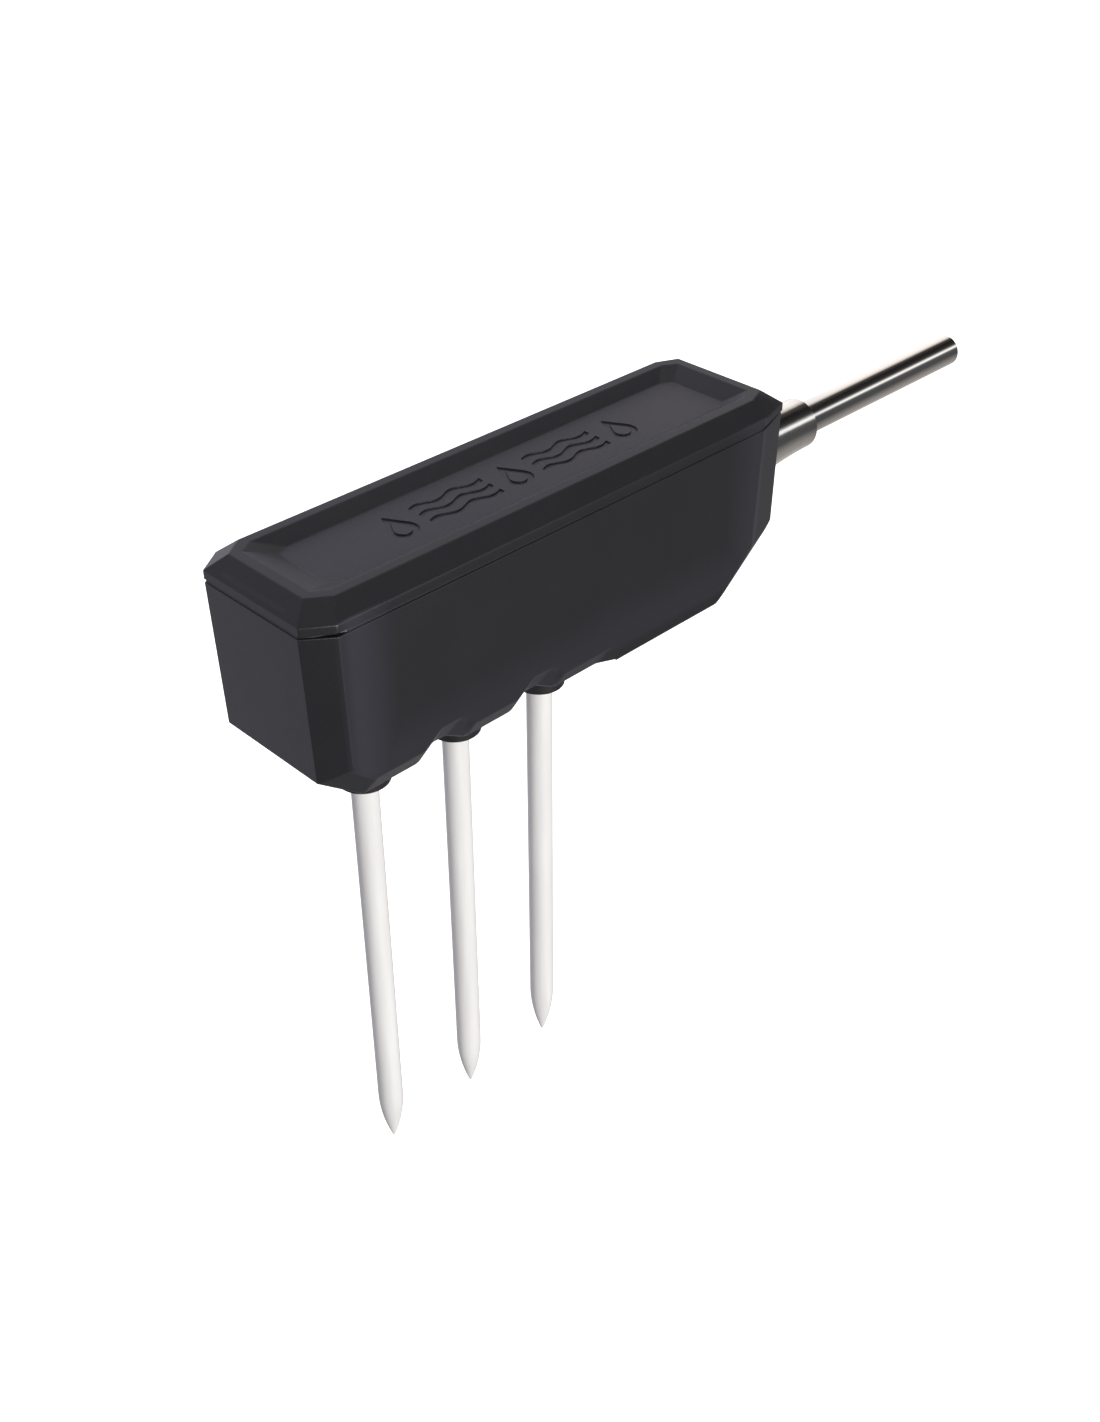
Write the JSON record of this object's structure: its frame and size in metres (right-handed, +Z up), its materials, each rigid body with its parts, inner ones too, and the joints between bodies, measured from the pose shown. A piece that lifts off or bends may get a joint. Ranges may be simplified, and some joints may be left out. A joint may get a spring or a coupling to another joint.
{
  "type": "soil moisture sensor",
  "caption": "Soil moisture probe: a slim chamfered casing with a recessed lid, a row of pointed sensing pins below and a polished lead tube in a flared sleeve at one end.",
  "frame": {"origin": "on the centre pin's axis, at the lower face of its bush, where the soil surface lies in use", "axes": "+X along the row of pins towards the lead, +Y across the casing, +Z up; the pins point down along -Z"},
  "size_m": [0.1121, 0.0186, 0.0831],
  "materials": {
    "casing": "matte, very fine moulded grain",
    "gasket": "matte",
    "resin": "satin, cast",
    "board": "satin solder mask",
    "pin_coat": "satin white coat on steel",
    "bush": "matte",
    "seal": "matte",
    "solder": "bright",
    "bead": "glossy",
    "bare_leads": "bright",
    "chip": "matte",
    "can": "satin",
    "ferrite": "matte",
    "capacitor": "matte",
    "resistor": "matte",
    "terminal": "satin",
    "red_wire": "glossy",
    "black_wire": "glossy",
    "white_wire": "glossy",
    "green_wire": "glossy",
    "steel": "polished",
    "brass": "satin"
  },
  "bodies": {
    "root": {"lid": "casing", "lid_gasket": "gasket", "body": "casing", "potting": "resin", "circuit_board": "board", "front_pin": "pin_coat", "centre_pin": "pin_coat", "rear_pin": "pin_coat", "front_bush": "bush", "centre_bush": "bush", "rear_bush": "bush", "front_pin_seal": "seal", "centre_pin_seal": "seal", "rear_pin_seal": "seal", "front_pin_collar": "brass", "centre_pin_collar": "brass", "rear_pin_collar": "brass", "solder_joints": "solder", "thermistor": "bead", "thermistor_leads": "bare_leads", "processor": "chip", "measuring_chip": "chip", "crystal": "can", "inductor": "ferrite", "storage_capacitor": "can", "ceramic_capacitors": "capacitor", "resistors": "resistor", "wire_terminal": "terminal", "red_wire": "red_wire", "black_wire": "black_wire", "white_wire": "white_wire", "green_wire": "green_wire", "sleeve": "steel", "sleeve_seal": "seal", "sleeve_nut": "brass", "lead_tube": "steel", "tube_plug": "resin"}
  },
  "joints": []
}
